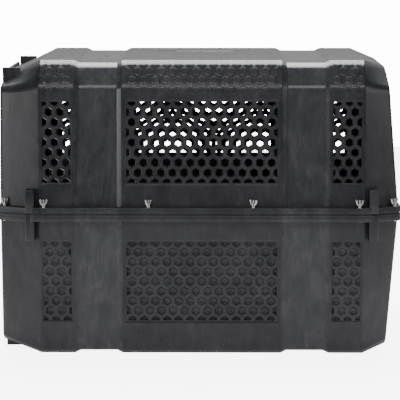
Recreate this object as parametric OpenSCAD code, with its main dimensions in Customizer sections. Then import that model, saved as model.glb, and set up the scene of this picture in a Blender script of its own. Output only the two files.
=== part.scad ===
// Giant two-shell pet transport carrier.
// Frame: +Z up, +X along the length with the door at -X, origin at the middle of the footprint.

/* [Overall] */
// Length over the joining flange, door end to rear end
length = 1219; // [1180:1:1260]
// Width over the joining flange
width = 813; // [790:1:840]
// Height from the floor to the roof
height = 889; // [870:1:920]
// Wall thickness of the two moulded shells
wall = 3.5; // [3:0.5:5]

/* [Shell] */
// Height of the parting plane between the two shells
parting_z = 433.5; // [425:0.5:440]
// How far the flange stands out from the long walls
flange_out = 19.5; // [18:0.5:22]
// Depth of the channels that divide the bays
channel_depth = 8; // [6:1:11]
// Middle of the bay pattern along the length
bay_mid = 8; // [0:1:12]
// Half length of the centre bay
centre_bay = 240.5; // [238:0.5:242]
// Distance from the bay middle to the inner edge of an end bay
end_bay_inner = 386; // [384:1:390]
// Distance from the bay middle to the outer edge of an end bay
end_bay_outer = 489; // [486:1:492]
// Length of the slope between a bay and a channel
bay_slope = 17; // [12:1:20]

/* [Vents] */
// Pitch of the hexagon lattice along a row
hex_pitch = 35; // [34:0.5:35]
// Width of a hexagonal hole across its flats
hex_flats = 24; // [20:0.5:28]
// Number of holes in a full row of the centre vent
vent_columns = 13; // [9:2:13]
// Height of the middle of the side vents
vent_z = 647.5; // [640:0.5:655]
// Height of the middle of the blind hexagons on the lower shell
dimple_z = 222; // [215:1:230]
// Depth of the blind hexagons
dimple_depth = 2; // [1:0.5:3]

/* [Door] */
// Half width of the doorway
door_half = 222; // [215:1:230]
// Bottom edge of the doorway
door_z0 = 88; // [84:1:95]
// Top edge of the doorway
door_z1 = 800; // [780:1:805]
// Radius of the door frame wire
frame_wire = 4; // [3.5:0.5:4.5]
// Radius of the upright bars
bar_wire = 2.5; // [2:0.5:3]
// Number of upright bars
bar_count = 13; // [9:2:15]
// Travel of each latch rod when the grips are squeezed
latch_travel = 14; // [13:1:16]

/* [Fasteners] */
// Radius of the carriage bolt shank
bolt_r = 3; // [2.5:0.5:3]
// Height of a wing nut
nut_h = 26; // [22:1:28]

/* [Hidden] */
$fn = 48;
NUTS = 12;
NUT_NAMES = [for (i = [1:NUTS]) str("wing_nut_", i)];

plastic = [0.16, 0.16, 0.17];
zinc = [0.75, 0.76, 0.78];
eps = 0.01;

// Half widths and heights of the bay cross-section
wall_y = width / 2 - flange_out;
shoulder_y = wall_y - 29;
shoulder_z = height - 73;
roof_y = wall_y - 75;
heel_y = wall_y - 14;
heel_z = 10.5;
floor_y = heel_y - 10.5;
bend = 0.414;

// Ends of the shells along the length
end_x = length / 2 - 6.5;
front_x = bay_mid - end_bay_outer;
rear_x = bay_mid + end_bay_outer;
end_y = wall_y - 42;
slope_y = roof_y - 127;

// Flange
flange_y = width / 2;
flange_end_y = flange_y - 41.5;
flange_front_x = front_x - 18;
flange_rear_x = rear_x + 14;
flange_top = parting_z + 20;
flange_bottom = parting_z - 23;
groove = 1.5;
joint_gap = 0.2;
skirt = 4;
boss_r = 8;

// Bolt places along the near side, then the two corners, repeated on the far side
bolt_y = wall_y + 10.5;
bolt_places = [
    for (side = [-1, 1])
        for (p = [[-467, bolt_y], [-152, bolt_y], [163, bolt_y], [482, bolt_y],
                  [-587, bolt_y - 36], [589, bolt_y - 36]])
            [p[0], side * p[1]]
];
washer_h = 1.6;
nut_gap = 0.2;
nut_z = flange_top + washer_h + nut_gap;

// Door
door_x = -580;
hinge_y = door_half - 14;
latch_x = -592;
latch_y = -(door_half - 26);
rod_r = 3.5;
ledge = 8;
ledge_depth = 33;
socket_r = 7;
socket_h = 14;
frame_z0 = door_z0 + 12;
frame_z1 = door_z1 - 12;
latch_z = (door_z0 + door_z1) / 2;
running = 0.05;

plate_w = 46;
plate_h = 130;
plate_t = 3.8;
plate_x = door_x + frame_wire + 0.2;
plate_y0 = latch_y - 23;
housing_back = door_x - frame_wire - 0.2;
cover_x = -length / 2 + 2;
window_half = 11;
web_half = 3;
screw_r = 1.4;
screw_len = 24;
spring_top = 30;
rod_start = 36;
rod_reach = latch_travel - 2;

row_rise = hex_pitch * sin(60);
hex_r = hex_flats / 2 / cos(30);
vent_rows = 8;
rear_columns = 11;
window_margin = 2;
end_window_w = 85;
end_window_x = 437.5;
end_window_shift = 8;

// Lugs, ribs beside the doorway and the lip over it
lug_half = 13.5;
lug_x = 516.5;
lug_rise = 74.5;
lug_fall = 81.5;
rib_y = 256;
rib_t = 9;
rib_top = height - 25;
lip_half = 190;
lip_t = 9;
lip_z0 = height - 72;
lip_z1 = height - 39;
doorway_back = 565;

// ---------- helpers ----------

// Solid hull of a list of points
module convex(points) {
    hull()
        polyhedron(points = points, faces = [[for (i = [0:len(points) - 1]) i]]);
}

function mirrored(p) = concat(p, [for (i = [len(p) - 1:-1:0]) [-p[i][0], p[i][1]]]);
function at_x(x, section) = [for (p = section) [x, p[0], p[1]]];
function both_sides(points) = [for (side = [-1, 1]) for (p = points) [p[0], side * p[1], p[2]]];

// Upper cross-section (Y, Z), moved in by d
function top_section(d, z0) = mirrored([
    [-(wall_y - d), z0],
    [-(shoulder_y - d), shoulder_z - bend * d],
    [-(roof_y - bend * d), height - d]
]);

// Lower cross-section (Y, Z), moved in by d
function bottom_section(d, z0) = mirrored([
    [-(wall_y - d), z0],
    [-(heel_y - d), heel_z + bend * d],
    [-(floor_y - bend * d), d]
]);

// Corner points of the upper shell's two ends, moved in by d
function top_front(d, z0) = both_sides([
    [-(end_x - d), end_y - d, z0],
    [-(end_x - 1 - d), end_y - 27 - d, shoulder_z - 7 - bend * d],
    [-(end_x - 5 - bend * d), slope_y - bend * d, height - 60 - d]
]);
function top_rear(d, z0) = both_sides([
    [end_x - d, end_y - d, z0],
    [end_x - 27 - d, end_y - 27 - d, shoulder_z - 7 - bend * d],
    [end_x - 28 - d, slope_y + 40 - d, height - 42 - bend * d],
    [end_x - 38 - bend * d, slope_y - bend * d, height - 22 - d]
]);

// Corner points of the lower shell's two ends, moved in by d
function bottom_front(d, z0) = both_sides([
    [-(end_x - d), end_y - d, z0],
    [-(end_x - 1 - d), end_y - 14 - d, 50 + bend * d],
    [-(end_x - 4 - bend * d), end_y - 19 - d, 38 + d]
]);
function bottom_rear(d, z0) = both_sides([
    [end_x - d, end_y - d, z0],
    [end_x - 29 - d, end_y - 12 - d, 42 + bend * d],
    [end_x - 35 - bend * d, end_y - 18 - d, 25 + d]
]);

// Straight core at channel depth, between the two end bays
module core(section, x0, x1) {
    translate([x0, 0, 0])
        rotate([90, 0, 90])
            linear_extrude(height = x1 - x0)
                polygon(section);
}

// Three raised bays joined by the core; in_d is the distance inside the outer skin
module top_body(d, z0) {
    low = top_section(d + channel_depth, z0);
    full = top_section(d, z0);
    x_low = bay_mid - end_bay_inner + bay_slope;
    x_centre = centre_bay + bay_slope;
    core(low, x_low - 1, 2 * bay_mid - x_low + 1);
    convex(concat(
        at_x(x_low, low), at_x(x_low - bay_slope, full), at_x(front_x, full), top_front(d, z0)));
    convex(concat(
        at_x(bay_mid - x_centre, low), at_x(bay_mid - centre_bay, full),
        at_x(bay_mid + centre_bay, full), at_x(bay_mid + x_centre, low)));
    convex(concat(
        at_x(2 * bay_mid - x_low, low), at_x(2 * bay_mid - x_low + bay_slope, full),
        at_x(rear_x, full), top_rear(d, z0)));
}

module bottom_body(d, z0) {
    low = bottom_section(d + channel_depth, z0);
    full = bottom_section(d, z0);
    x_low = bay_mid - end_bay_inner + bay_slope;
    x_centre = centre_bay + bay_slope;
    core(low, x_low - 1, 2 * bay_mid - x_low + 1);
    convex(concat(
        at_x(x_low, low), at_x(x_low - bay_slope, full), at_x(front_x, full), bottom_front(d, z0)));
    convex(concat(
        at_x(bay_mid - x_centre, low), at_x(bay_mid - centre_bay, full),
        at_x(bay_mid + centre_bay, full), at_x(bay_mid + x_centre, low)));
    convex(concat(
        at_x(2 * bay_mid - x_low, low), at_x(2 * bay_mid - x_low + bay_slope, full),
        at_x(rear_x, full), bottom_rear(d, z0)));
}

// Flange outline, moved in by d
module flange_outline(d) {
    polygon([
        [-(length / 2 - d), -(flange_end_y - d)], [flange_front_x, -(flange_y - d)],
        [flange_rear_x, -(flange_y - d)], [length / 2 - d, -(flange_end_y - d)],
        [length / 2 - d, flange_end_y - d], [flange_rear_x, flange_y - d],
        [flange_front_x, flange_y - d], [-(length / 2 - d), flange_end_y - d]
    ]);
}

// Flange plate with an outer skirt and a boss round every bolt
module flange(plate_z, skirt_z0, skirt_z1) {
    translate([0, 0, plate_z])
        linear_extrude(height = skirt)
            flange_outline(0);
    translate([0, 0, skirt_z0])
        linear_extrude(height = skirt_z1 - skirt_z0)
            difference() {
                flange_outline(0);
                flange_outline(skirt);
            }
    for (p = bolt_places)
        translate([p[0], p[1], skirt_z0])
            cylinder(r = boss_r, h = skirt_z1 - skirt_z0);
}

module bolt_holes(r, z0, z1) {
    for (p = bolt_places)
        translate([p[0], p[1], z0 - 1])
            cylinder(r = r, h = z1 - z0 + 2);
}

// One lattice of pointed-up hexagons clipped to a window w wide; x0 shifts the lattice
module hex_window(w, x0) {
    intersection() {
        square([w, vent_rows * row_rise], center = true);
        for (row = [0:vent_rows])
            for (col = [-9:9])
                translate([x0 + (col + (row % 2) / 2) * hex_pitch, (row - vent_rows / 2) * row_rise])
                    rotate(30)
                        circle(r = hex_r, $fn = 6);
    }
}

// All side windows of one shell: centre bay and both end bays
module side_windows() {
    translate([bay_mid, 0])
        hex_window(vent_columns * hex_pitch + window_margin, 0);
    translate([bay_mid - end_window_x, 0])
        hex_window(end_window_w, end_window_shift);
    translate([bay_mid + end_window_x, 0])
        hex_window(end_window_w, -end_window_shift);
}

// Upright rib plates beside the doorway, outside the skin
module front_ribs(z0, z1, x0, x1) {
    for (side = [-1, 1])
        translate([x0, side * rib_y - rib_t / 2, z0])
            cube([x1 - x0, rib_t, z1 - z0]);
}

// Pillar lugs that cross the flange at the start of every corner chamfer
module lugs(z0, z1) {
    for (x = [bay_mid - lug_x, bay_mid + lug_x])
        for (side = [-1, 1])
            translate([x - lug_half, side < 0 ? -(flange_y - 3) : wall_y - 25, z0])
                cube([2 * lug_half, flange_y - 3 - wall_y + 25, z1 - z0]);
}

module doorway() {
    translate([-length / 2 - 5, -door_half, door_z0])
        cube([length / 2 - doorway_back + 5, 2 * door_half, door_z1 - door_z0]);
}

// Raised edge over the doorway, where the roof slope ends
module front_lip() {
    translate([-end_x, -lip_half, lip_z0])
        cube([lip_t, 2 * lip_half, lip_z1 - lip_z0]);
}

// Jamb that lines the doorway between two heights
module jambs(z0, z1) {
    for (side = [-1, 1])
        translate([-(end_x - 1), side < 0 ? -(door_half + 6) : door_half, z0])
            cube([ledge_depth, 6, z1 - z0]);
}

// Shelf over or under the doorway that holds the hinge and latch rods
module shelf(z0) {
    difference() {
        translate([-(end_x - 1), -(door_half + 6), z0])
            cube([ledge_depth, 2 * door_half + 12, ledge]);
        translate([door_x, hinge_y, z0 - 1])
            cylinder(r = frame_wire + running, h = ledge + 2);
    }
}

// Hole in a shelf and the wall beside it for the tip of a latch rod
module rod_hole(z0) {
    upright(latch_x, latch_y, z0 - socket_h, z0 + socket_h, rod_r + 0.5);
}

// ---------- shells ----------

module top_shell() {
    z0 = parting_z + joint_gap;
    color(plastic)
        difference() {
            union() {
                difference() {
                    union() {
                        top_body(0, z0);
                        flange(flange_top - skirt, parting_z + groove, flange_top - eps);
                        front_ribs(760, rib_top, -(end_x - 3), -545);
                        front_lip();
                        lugs(parting_z + groove, parting_z + lug_rise);
                    }
                    top_body(wall, z0 - 2);
                    translate([0, width / 2, vent_z])
                        rotate([90, 0, 0])
                            linear_extrude(height = width)
                                side_windows();
                    translate([end_bay_outer, 0, vent_z])
                        rotate([90, 0, 90])
                            linear_extrude(height = length / 2 - end_bay_outer)
                                hex_window(rear_columns * hex_pitch + window_margin, 0);
                    doorway();
                }
                shelf(door_z1);
                jambs(z0, door_z1 + 1);
            }
            rod_hole(door_z1);
            bolt_holes(bolt_r + 0.5, parting_z, flange_top);
        }
}

module bottom_shell() {
    z0 = parting_z - joint_gap;
    color(plastic)
        difference() {
            union() {
                difference() {
                    union() {
                        bottom_body(0, z0);
                        flange(flange_bottom, flange_bottom + eps, parting_z - groove);
                        front_ribs(0, 110, -(end_x - 4), -536);
                        lugs(parting_z - lug_fall, parting_z - groove);
                    }
                    bottom_body(wall, z0 + 2);
                    dimples();
                    doorway();
                }
                shelf(door_z0 - ledge);
                jambs(door_z0 - 1, z0);
                upright(latch_x, latch_y, door_z0 - socket_h, door_z0, socket_r);
            }
            rod_hole(door_z0);
            bolt_holes(bolt_r + 0.3, flange_bottom, parting_z);
        }
}

// Blind hexagons, cut square to the sloping lower walls
module dimples() {
    slope = atan((wall_y - heel_y) / (parting_z - heel_z));
    skin_y = wall_y - (parting_z - dimple_z) * tan(slope);
    for (side = [0, 180])
        rotate(side)
            translate([0, -skin_y + dimple_depth, dimple_z])
                rotate([90 + slope, 0, 0])
                    linear_extrude(height = 20)
                        rotate([side, side, 0])
                            side_windows();
}

// ---------- fasteners ----------

module carriage_bolts() {
    head_r = 7;
    head_h = 3.5;
    sphere_r = (head_r * head_r + head_h * head_h) / (2 * head_h);
    color(zinc)
        for (p = bolt_places)
            translate([p[0], p[1], flange_bottom])
                union() {
                    cylinder(r = bolt_r, h = flange_top - flange_bottom + nut_h - 2);
                    rotate([180, 0, 0])
                        intersection() {
                            cylinder(r = head_r, h = head_h);
                            translate([0, 0, head_h - sphere_r])
                                sphere(r = sphere_r);
                        }
                }
}

module flat_washers() {
    color(zinc)
        for (p = bolt_places)
            translate([p[0], p[1], flange_top])
                difference() {
                    cylinder(r = 8, h = washer_h);
                    translate([0, 0, -1])
                        cylinder(r = bolt_r + 0.4, h = washer_h + 2);
                }
}

module wing_nut(place) {
    color(zinc)
        translate([place[0], place[1], nut_z])
            difference() {
                union() {
                    cylinder(r = 6, h = 4);
                    cylinder(r = 5, h = nut_h / 2);
                    translate([0, 1.5, 0])
                        rotate([90, 0, 0])
                            linear_extrude(height = 3)
                                for (side = [-1, 1])
                                    scale([side, 1])
                                        wing_outline();
                }
                translate([0, 0, -1])
                    cylinder(r = bolt_r + running, h = nut_h + 2);
            }
}

module wing_outline() {
    lobe_r = 4.5;
    translate([6, nut_h - lobe_r])
        circle(r = lobe_r);
    polygon([[1, 5], [5, 5], [10.4, nut_h - 5], [2, nut_h - 3]]);
}

// ---------- door ----------

module upright(x, y, z0, z1, r) {
    translate([x, y, z0])
        cylinder(r = r, h = z1 - z0);
}

module crosswise(x, z, y0, y1, r) {
    translate([x, y0, z])
        rotate([-90, 0, 0])
            cylinder(r = r, h = y1 - y0);
}

// Closed rectangle of heavy wire; the hinge rod is its far upright
module door_frame() {
    inner_y = hinge_y - 2 * frame_wire + 0.5;
    color(zinc)
        union() {
            for (y = [-hinge_y, inner_y])
                upright(door_x, y, frame_z0, frame_z1, frame_wire);
            for (z = [frame_z0, frame_z1])
                crosswise(door_x, z, -hinge_y, inner_y, frame_wire);
            for (z = [frame_z0, frame_z1])
                for (y = [-hinge_y, inner_y])
                    translate([door_x, y, z])
                        sphere(r = frame_wire);
        }
}

module hinge_rod() {
    color(zinc)
        upright(door_x, hinge_y, door_z0 - ledge - 4, door_z1 + ledge + 4, frame_wire);
}

module door_bars() {
    step = 2 * (hinge_y - frame_wire) / (bar_count + 1);
    color(zinc)
        for (i = [1:bar_count])
            upright(door_x, -hinge_y - frame_wire / 2 + i * step, frame_z0 + 3, frame_z1 - 3, bar_wire);
}

module door_cross_wires() {
    rows = 4;
    step = (frame_z1 - frame_z0) / (rows + 1);
    color(zinc)
        for (i = [1:rows])
            crosswise(door_x + 2 * bar_wire - 0.5, frame_z0 + i * step,
                      -hinge_y, hinge_y - 2 * frame_wire, bar_wire);
}

// Four eyes welded to the frame that guide the two latch rods
module rod_guides() {
    eye_h = 10;
    color(zinc)
        for (z = [frame_z0 - eye_h / 2, frame_z0 + 100, frame_z1 - 100, frame_z1 - eye_h / 2])
            translate([latch_x, latch_y, z])
                difference() {
                    union() {
                        cylinder(r = rod_r + 2.5, h = eye_h);
                        translate([0, -10, 0])
                            cube([door_x + 2 - latch_x, 7, eye_h]);
                    }
                    translate([0, 0, -1])
                        cylinder(r = rod_r + 0.35, h = eye_h + 2);
                }
}

// ---------- latch ----------

// Plate behind the wires, screwed through them to the housing
module latch_backplate() {
    color(plastic)
        difference() {
            translate([plate_x, plate_y0, latch_z - plate_h / 2])
                cube([plate_t, plate_w, plate_h]);
            screw_places()
                cylinder(r = screw_r + 0.3, h = 40, center = true);
        }
}

// Screw axes run along -X from the back face of the plate
module screw_places() {
    for (y = [plate_y0 + 3.5, plate_y0 + 32])
        for (dz = [-57, 57])
            translate([plate_x + plate_t, y, latch_z + dz])
                rotate([0, -90, 0])
                    children();
}

// Hollow cover in front of the wires, with a finger window and a web between the springs
module latch_housing() {
    depth = housing_back - cover_x;
    pocket = 50;
    color(plastic)
        difference() {
            translate([cover_x, plate_y0, latch_z - plate_h / 2])
                cube([depth, plate_w, plate_h]);
            for (low = [-pocket, web_half])
                translate([cover_x + 3, latch_y - window_half, latch_z + low])
                    cube([depth - 5, 2 * window_half, pocket - web_half]);
            translate([cover_x - 1, latch_y - window_half, latch_z - 40])
                cube([5, 2 * window_half, 80]);
            upright(latch_x, latch_y, latch_z - plate_h, latch_z - 40, rod_r + 0.5);
            upright(latch_x, latch_y, latch_z + 40, latch_z + plate_h, rod_r + 0.5);
            screw_places()
                cylinder(r = screw_r, h = screw_len + 1);
        }
}

module latch_screws() {
    color(zinc)
        screw_places() {
            cylinder(r = screw_r, h = screw_len);
            translate([0, 0, -1.8])
                cylinder(r = 3, h = 1.8);
        }
}

// One squeeze grip on the end of its rod; dir is 1 for upper and -1 for lower
module grip(dir) {
    color(plastic)
        translate([latch_x, latch_y, latch_z])
            mirror([0, 0, dir < 0 ? 1 : 0])
                difference() {
                    union() {
                        translate([-8.5, -10, spring_top])
                            cube([14, 20, 12]);
                        translate([cover_x - latch_x - 1.5, -10, spring_top - 8])
                            cube([9.5, 20, 12]);
                    }
                    translate([0, 0, rod_start])
                        cylinder(r = rod_r, h = 10);
                }
}

module upper_grip() {
    grip(1);
}

module lower_grip() {
    grip(-1);
}

module upper_latch_rod() {
    color(zinc)
        upright(latch_x, latch_y, latch_z + rod_start, door_z1 + rod_reach, rod_r);
}

module lower_latch_rod() {
    color(zinc)
        upright(latch_x, latch_y, door_z0 - rod_reach, latch_z - rod_start, rod_r);
}

// Helical compression spring, swept as a polygon tube of n sides
module coil(z0, z1, coil_r, wire_r, turns) {
    sides = 6;
    steps = turns * 10;
    rings = [
        for (i = [0:steps])
            let (a = 360 * i * turns / steps, z = z0 + wire_r + (z1 - z0 - 2 * wire_r) * i / steps)
                [for (k = [0:sides - 1])
                    let (b = 360 * k / sides, r = coil_r + wire_r * cos(b))
                        [r * cos(a), r * sin(a), z + wire_r * sin(b)]]
    ];
    points = [for (ring = rings) for (p = ring) p];
    walls = [
        for (i = [0:steps - 1])
            for (k = [0:sides - 1])
                let (n = (k + 1) % sides)
                    [i * sides + k, (i + 1) * sides + k, (i + 1) * sides + n, i * sides + n]
    ];
    caps = [[for (k = [0:sides - 1]) k], [for (k = [sides - 1:-1:0]) steps * sides + k]];
    polyhedron(points = points, faces = concat(walls, caps));
}

module upper_spring() {
    color(zinc)
        translate([latch_x, latch_y, latch_z])
            coil(web_half, spring_top, 5, 0.7, 6);
}

module lower_spring() {
    color(zinc)
        translate([latch_x, latch_y, latch_z])
            coil(-spring_top, -web_half, 5, 0.7, 6);
}

top_shell();
bottom_shell();
carriage_bolts();
flat_washers();
door_frame();
door_bars();
door_cross_wires();
hinge_rod();
rod_guides();
latch_backplate();
latch_housing();
latch_screws();
upper_grip();
lower_grip();
upper_latch_rod();
lower_latch_rod();
upper_spring();
lower_spring();
for (i = [1:NUTS])
    wing_nut(bolt_places[i - 1]);
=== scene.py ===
import math
from collections import namedtuple

import bpy
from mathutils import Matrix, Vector
from mathutils.geometry import delaunay_2d_cdt


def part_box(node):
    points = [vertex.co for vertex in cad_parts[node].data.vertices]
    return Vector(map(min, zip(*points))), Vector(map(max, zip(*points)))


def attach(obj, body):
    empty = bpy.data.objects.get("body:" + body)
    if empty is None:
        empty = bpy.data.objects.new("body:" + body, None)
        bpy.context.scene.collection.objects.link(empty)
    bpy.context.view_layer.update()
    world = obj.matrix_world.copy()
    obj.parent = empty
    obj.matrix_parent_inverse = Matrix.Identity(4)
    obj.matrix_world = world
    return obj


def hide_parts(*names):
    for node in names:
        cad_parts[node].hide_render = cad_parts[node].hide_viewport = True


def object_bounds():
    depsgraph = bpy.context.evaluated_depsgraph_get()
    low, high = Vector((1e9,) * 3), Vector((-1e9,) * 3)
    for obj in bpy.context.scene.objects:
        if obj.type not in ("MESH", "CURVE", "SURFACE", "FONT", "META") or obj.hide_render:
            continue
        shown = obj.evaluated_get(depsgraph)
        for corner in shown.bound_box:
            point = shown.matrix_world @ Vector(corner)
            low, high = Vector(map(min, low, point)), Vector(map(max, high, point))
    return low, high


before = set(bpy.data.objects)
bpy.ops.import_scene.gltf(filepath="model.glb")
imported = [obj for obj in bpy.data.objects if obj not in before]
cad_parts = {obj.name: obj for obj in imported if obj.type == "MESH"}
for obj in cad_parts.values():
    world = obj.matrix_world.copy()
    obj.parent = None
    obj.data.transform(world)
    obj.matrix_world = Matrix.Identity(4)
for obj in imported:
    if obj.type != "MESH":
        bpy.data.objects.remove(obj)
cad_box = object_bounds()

# ---------- driving sizes, in metres ----------

LOW, HIGH = cad_box
LENGTH, WIDTH, HEIGHT = HIGH - LOW

WALL = 0.0035
PARTING = 0.4335            # height of the joint between the shells
JOINT_GAP = 0.0002

# Along the length: a middle bay, two channels and two end bays, as distances from the middle of the bays.
BAY_MID = 0.008
CENTRE_BAY = 0.2405
END_BAY_INNER = 0.386
END_BAY_OUTER = 0.489
BAY_SLOPE = 0.017
CHANNEL_DEPTH = 0.008
BEND = 0.414                # a corner moves by the channel depth one way and by this share of it the other

FLANGE_OUT = 0.0195
FLANGE_TOP = PARTING + 0.020
FLANGE_BOTTOM = PARTING - 0.023
FLANGE_EDGE = 0.0025        # radius of the flange's outer edge
FLANGE_STEP = 0.0125        # from the flange's face to the step line in its skirt
GROOVE = 0.0015
SKIRT = 0.004
TONGUE = 0.003              # how far the lower skirt reaches above the joint
FLANGE_CUT = 0.0415         # cut-off corners: in from the side, out from the bays' ends, and their radius
FLANGE_FRONT_CUT = 0.018
FLANGE_REAR_CUT = 0.014
FLANGE_CORNER = 0.014
FLANGE_SPACING = 0.006      # between points along the flange

# Profile corners are (half width, height).
WALL_Y = WIDTH / 2 - FLANGE_OUT
END_X = LENGTH / 2 - 0.0065
END_Y = WALL_Y - 0.042
FRONT_X = BAY_MID - END_BAY_OUTER
REAR_X = BAY_MID + END_BAY_OUTER
SHOULDER = (WALL_Y - 0.029, HEIGHT - 0.073)
ROOF_EDGE = (WALL_Y - 0.075, HEIGHT)
HEEL = (WALL_Y - 0.014, 0.0105)
FLOOR_EDGE = (WALL_Y - 0.0245, 0.0)

BEND_RADIUS = 0.060
ROOF_RADIUS = 0.040
CREASE_WIDTH = 0.030        # flat strip between the slope and the roof
CREASE_RADIUS = 0.0025
CREASE_SHARE = 0.42         # tilt of that strip, as a share of the slope's tilt
END_TIGHTEN = 0.6           # how much sharper the bends get towards the ends
GUARD = 0.0012              # strip beside a bend that keeps its shading off the flat walls
HEEL_RADIUS = 0.003
FLOOR_RADIUS = 0.002
END_RADIUS = 0.008
CHANNEL_BEND = 0.003
CORNER_BEND = 0.0035
ARC_STEPS = 8

DOOR_HALF = 0.222
DOOR_LOW = 0.088
DOOR_HIGH = 0.800
JAMB = 0.006
LEDGE = 0.008
LEDGE_DEPTH = 0.033

HEX_PITCH = 0.035
HEX_FLATS = 0.024
ROW_RISE = HEX_PITCH * math.sin(math.radians(60))
VENT_ROWS = 8
HALF_WINDOW = VENT_ROWS / 2 * ROW_RISE
VENT_Z = 0.6475
DIMPLE_Z = 0.2250
SIDE_VENT_X = 0.4375
SIDE_VENT_HALF = 0.0425
SIDE_VENT_SHIFT = 0.005     # how far the end windows' cells sit outwards
CENTRE_HALF = 13 * HEX_PITCH / 2
REAR_HALF = 11 * HEX_PITCH / 2
CENTRE_BORDER = 0.0085
SIDE_BORDER = 0.005
PANEL_RECESS = 0.0018
LATTICE_BACK = 0.0090
DIMPLE_BACK = 0.0084

# Rings of a cell from its edge inwards, as (size across flats, depth as a negative height).
CELL_RIM = [(HEX_PITCH, -PANEL_RECESS)]
HOLE_LEVELS = CELL_RIM + [
    (HEX_FLATS + 0.0010, -PANEL_RECESS), (HEX_FLATS + 0.0002, -PANEL_RECESS - 0.0004),
    (HEX_FLATS, -0.0030), (HEX_FLATS - 0.0045, 0.0006 - LATTICE_BACK),
    (HEX_FLATS - 0.0038, -LATTICE_BACK), (HEX_PITCH, -LATTICE_BACK)]
DIMPLE_LEVELS = CELL_RIM + [
    (HEX_FLATS + 0.0024, -PANEL_RECESS), (HEX_FLATS - 0.0008, -PANEL_RECESS - 0.0008),
    (HEX_FLATS - 0.0040, -0.0056), (HEX_FLATS - 0.0100, -0.0074), (HEX_FLATS - 0.0170, -DIMPLE_BACK)]

# The lattice windows along a long wall; half is the half width inside the border.
Window = namedtuple("Window", "x half border shift")
WINDOWS = (Window(BAY_MID, CENTRE_HALF, CENTRE_BORDER, 0.0),
           Window(BAY_MID - SIDE_VENT_X, SIDE_VENT_HALF, SIDE_BORDER, -SIDE_VENT_SHIFT),
           Window(BAY_MID + SIDE_VENT_X, SIDE_VENT_HALF, SIDE_BORDER, SIDE_VENT_SHIFT))

# Blank label field in the roof: middle along X, half length, half width.
FIELD_X, FIELD_HALF_X, FIELD_HALF_Y = 0.013, 0.095, 0.135
FIELD_DEPTH = 0.0016
FIELD_LIP = 0.0018

LUG_X = 0.5165              # lugs, from the middle of the bays
LUG_HALF = 0.0135
LUG_RADIUS = 0.003
LUG_SETBACK = 0.003         # from the flange's edge to the lug's face
LUG_DEPTH = 0.022           # how far a lug runs in behind the wall
TOP_LUG = 0.0745            # heights of the lugs from the joint
BOTTOM_LUG = 0.0815
RIB_Y = 0.256
RIB_HALF = 0.0045
BOX_RADIUS = 0.0015


# ---------- small geometry helpers ----------

class Builder:
    """Collects faces by their corner points and joins corners that meet."""

    def __init__(self):
        self.verts = []
        self.faces = []
        self.painted_shade_faces = []      # indices of the faces that get the second material, a darkened plastic painted as shade in the dimples
        self.index = {}

    def corner(self, point):
        key = tuple(round(c, 6) for c in point)
        if key not in self.index:
            self.index[key] = len(self.verts)
            self.verts.append(tuple(point))
        return self.index[key]

    def face(self, points):
        ids = [self.corner(p) for p in points]
        clean = [a for a, b in zip(ids, ids[1:] + ids[:1]) if a != b]
        if len(clean) >= 3 and len(set(clean)) == len(clean):
            self.faces.append(clean)

    def skin(self, loops, capped=False):
        """Faces between neighbouring loops of equal length, and over both ends if capped."""
        for a, b in zip(loops, loops[1:]):
            for k in range(len(a)):
                m = (k + 1) % len(a)
                self.face([a[k], a[m], b[m], b[k]])
        if capped:
            self.face(loops[0][::-1])
            self.face(loops[-1])

    def mesh_object(self, name, sharp_angle=35):
        mesh = bpy.data.meshes.new(name)
        mesh.from_pydata(self.verts, [], self.faces)
        # faces listed as painted shade take the second material, a darkened plastic
        for k in self.painted_shade_faces:
            mesh.polygons[k].material_index = 1
        mesh.validate()
        mesh.shade_smooth()
        mesh.set_sharp_from_angle(angle=math.radians(sharp_angle))
        obj = bpy.data.objects.new(name, mesh)
        bpy.context.scene.collection.objects.link(obj)
        return obj


def mix(a, b, t):
    return a + (b - a) * t


def soft_ramp(x, r):
    """0 below zero and x above it, with the corner rounded over r on each side."""
    if x <= -r:
        return 0.0
    if x >= r:
        return x
    return (x + r) ** 2 / (4 * r)


def fillet(before, corner, after, radius, steps, guard=0.0):
    """Points of the arc that rounds one corner of a polyline, with a guard point past each end."""
    corner = Vector(corner)
    a = (Vector(before) - corner).normalized()
    b = (Vector(after) - corner).normalized()
    half = a.angle(b) / 2
    centre = corner + (a + b).normalized() * (radius / math.sin(half))
    first = corner + a * (radius / math.tan(half)) - centre
    last = corner + b * (radius / math.tan(half)) - centre
    turn = math.pi - 2 * half
    points = []
    for k in range(steps + 1):
        t = k / steps
        arm = (first * math.sin((1 - t) * turn) + last * math.sin(t * turn)) / math.sin(turn)
        points.append(tuple(centre + arm))
    if guard:
        points.insert(0, tuple(centre + first + a * guard))
        points.append(tuple(centre + last + b * guard))
    return points


def clip(polygon, axis, limit, keep_above):
    """Part of a polygon on one side of a plane square to an axis."""
    sign = 1 if keep_above else -1
    result = []
    for a, b in zip(polygon, polygon[1:] + polygon[:1]):
        da = sign * (a[axis] - limit)
        db = sign * (b[axis] - limit)
        if da >= 0:
            result.append(a)
        if (da > 0 > db) or (da < 0 < db):
            t = da / (da - db)
            result.append(tuple(mix(p, q, t) for p, q in zip(a, b)))
    return result


def clip_between(polygon, axis, low, high):
    return clip(clip(polygon, axis, low, True), axis, high, False)


def quarter_round(radius, steps):
    """Rounded edge as (distance from the end face, distance in from the side), from the end face on."""
    turns = [math.radians(90 * (1 - k / steps)) for k in range(steps + 1)]
    return [(radius * (1 - math.sin(t)), radius * (1 - math.cos(t))) for t in turns]


def circle(centre, radius, height, steps=32):
    """Points of a level circle at a height over its centre."""
    turns = [2 * math.pi * k / steps for k in range(steps)]
    x, y, z = centre
    return [(x + radius * math.cos(t), y + radius * math.sin(t), z + height) for t in turns]


def inside(point, outline):
    x, y = point
    odd = False
    for (x0, y0), (x1, y1) in zip(outline, outline[1:] + outline[:1]):
        if (y0 > y) != (y1 > y) and x < x0 + (y - y0) * (x1 - x0) / (y1 - y0):
            odd = not odd
    return odd


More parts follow.
